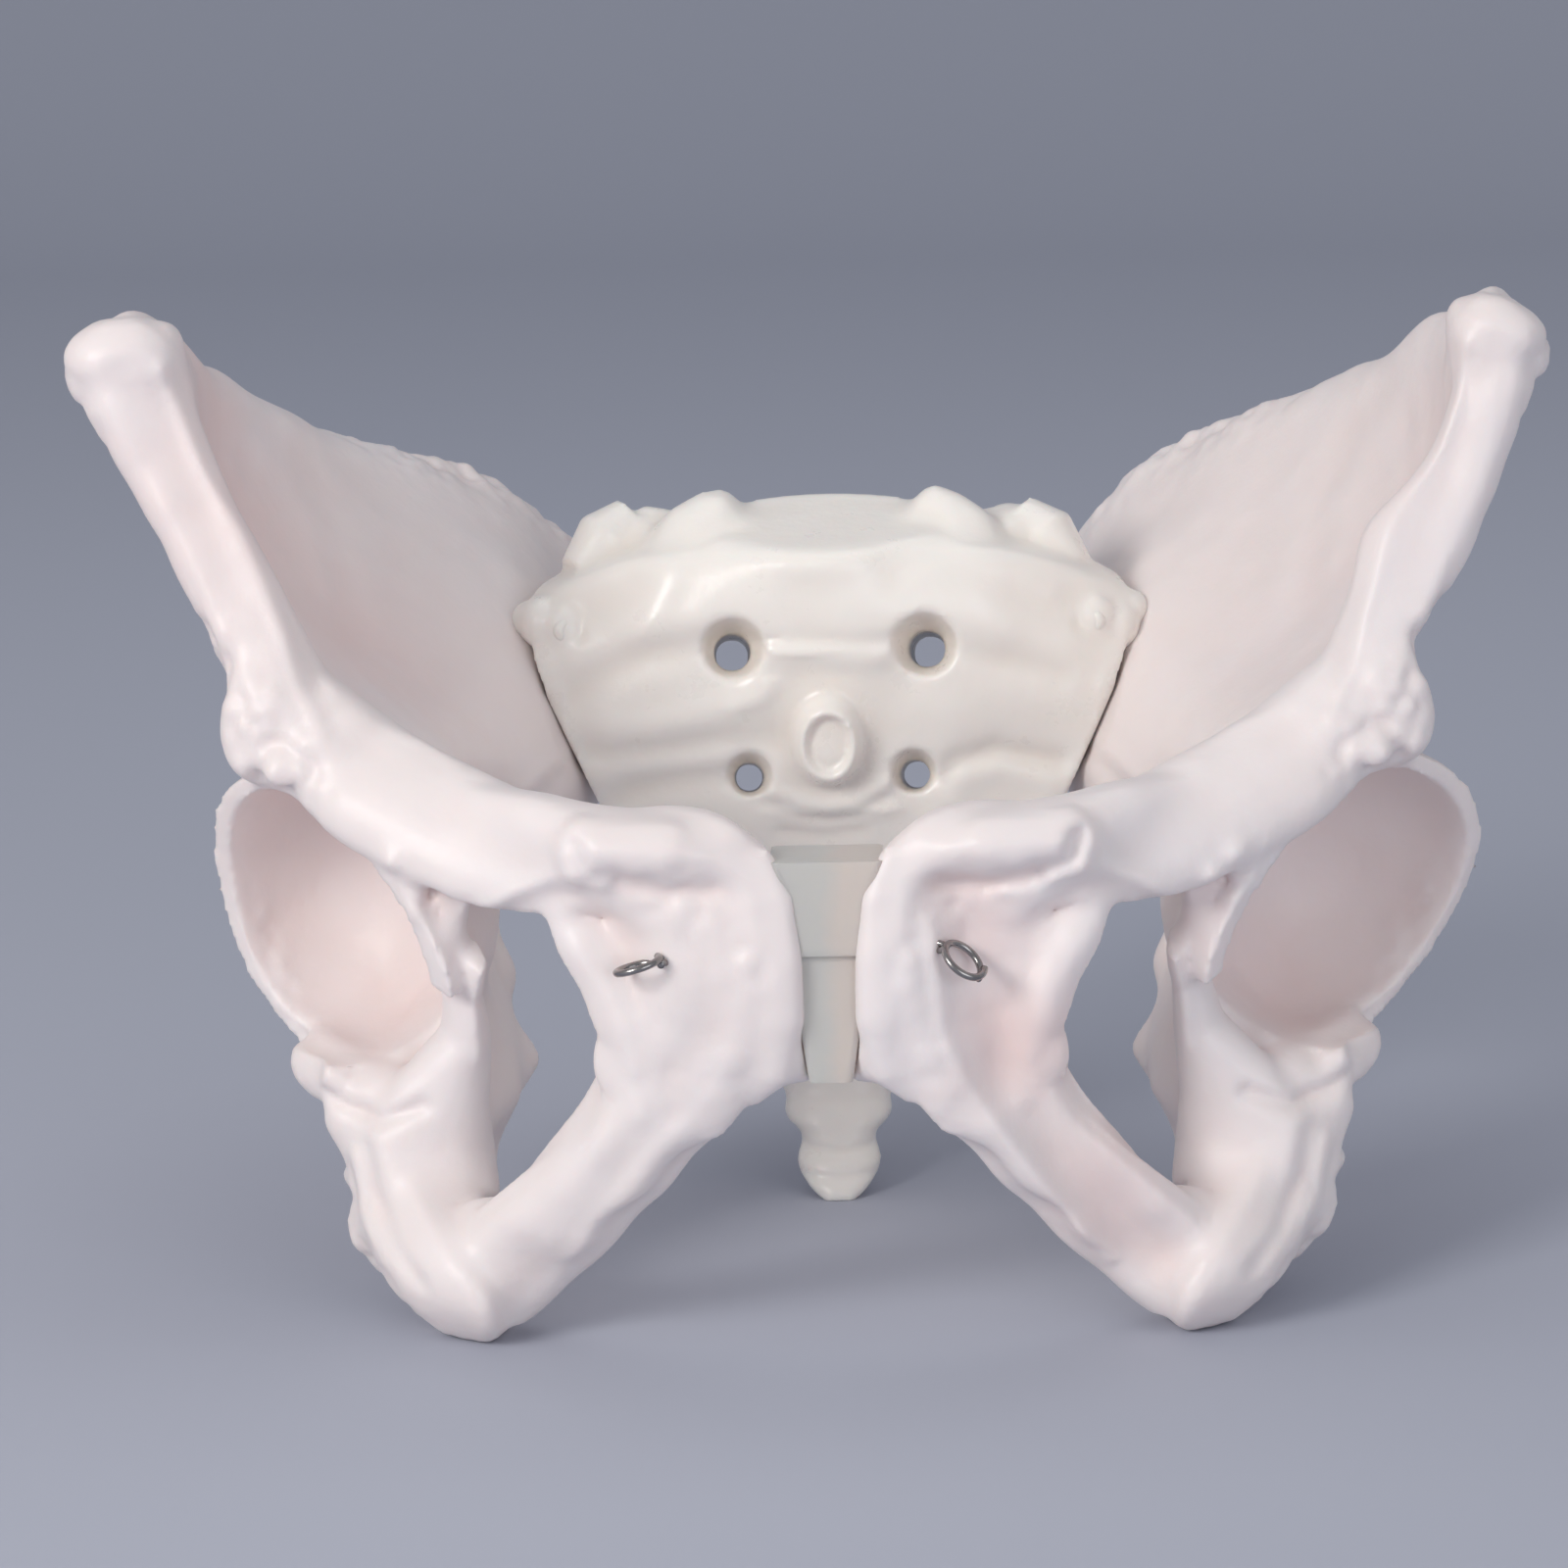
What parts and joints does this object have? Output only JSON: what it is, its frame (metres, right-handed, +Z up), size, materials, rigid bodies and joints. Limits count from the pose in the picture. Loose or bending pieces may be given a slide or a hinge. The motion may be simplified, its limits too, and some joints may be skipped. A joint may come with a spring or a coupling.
{
  "type": "pelvis skeleton model",
  "caption": "Life-size plastic model of a human pelvis: two hip bones tied to a sacrum and coccyx, with a soft disc and a wire at the front; stands on the sitting bones and coccyx.",
  "frame": {"origin": "centre of the bounding box in plan, on the surface that the model rests on", "axes": "+X to the model's own left, +Y back from the pubic bones to the sacrum, +Z up"},
  "size_m": [0.253, 0.1917, 0.1711],
  "materials": {
    "hip_plastic": "satin, warm pinkish white cast plastic",
    "sacrum_plastic": "glossy, creamy ivory cast plastic",
    "disc_silicone": "translucent grey silicone",
    "wire_steel": "bright drawn steel wire",
    "pin_steel": "plain steel",
    "plug_plastic": "smooth white plastic"
  },
  "bodies": {
    "root": {"hip_bone_left": "hip_plastic", "hip_bone_right": "hip_plastic", "sacrum": "sacrum_plastic", "symphysis_disc": "disc_silicone", "tie_wire": "wire_steel", "sacroiliac_pin_left": "pin_steel", "sacroiliac_pin_right": "pin_steel", "pin_plug_left": "plug_plastic", "pin_plug_right": "plug_plastic"}
  },
  "joints": []
}
